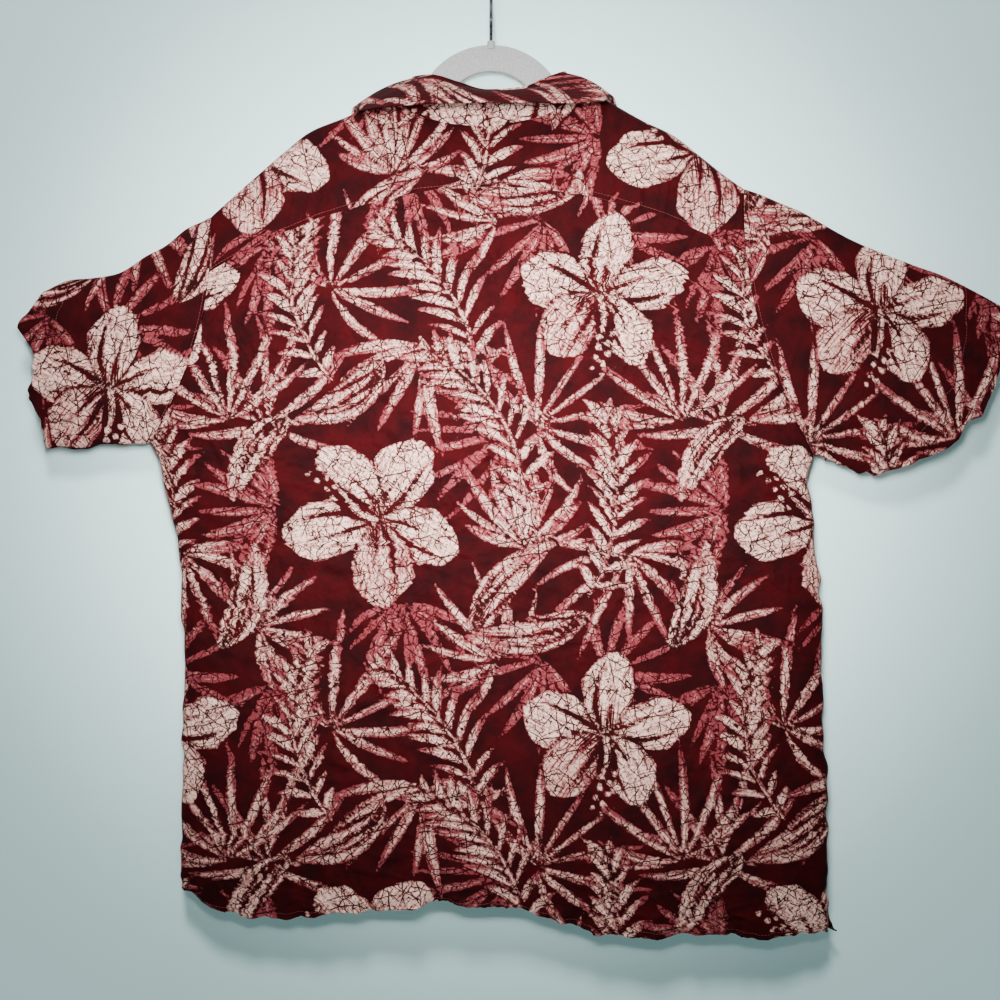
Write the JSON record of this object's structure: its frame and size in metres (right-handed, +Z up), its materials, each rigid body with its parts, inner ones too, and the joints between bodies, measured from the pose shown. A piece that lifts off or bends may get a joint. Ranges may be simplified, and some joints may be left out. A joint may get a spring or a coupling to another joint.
{
  "type": "hawaiian shirt on a clothes hanger",
  "caption": "Short-sleeved camp-collar shirt with open front neck, chest pocket and buttoned front, hung spread out on a flat flocked hanger with a wire hook.",
  "frame": {"origin": "the hook's seat on its rail, under the top of the hook's curl", "axes": "+Z up, +X towards the wearer's right side, -Y out of the shirt's back, +Y out of its front"},
  "size_m": [0.9823, 0.0824, 0.9707],
  "materials": {
    "printed_cloth": "soft matt rayon",
    "button": "polished",
    "flock": "velvet flock",
    "wire": "gloss"
  },
  "bodies": {
    "root": {"back_body": "printed_cloth", "yoke": "printed_cloth", "front_left": "printed_cloth", "front_right": "printed_cloth", "sleeve_left": "printed_cloth", "sleeve_right": "printed_cloth", "collar": "printed_cloth", "lapel_left": "printed_cloth", "lapel_right": "printed_cloth", "pocket": "printed_cloth", "button_1": "button", "button_2": "button", "button_3": "button", "button_4": "button", "button_5": "button", "button_6": "button", "hanger": "flock", "hook": "wire"}
  },
  "joints": []
}
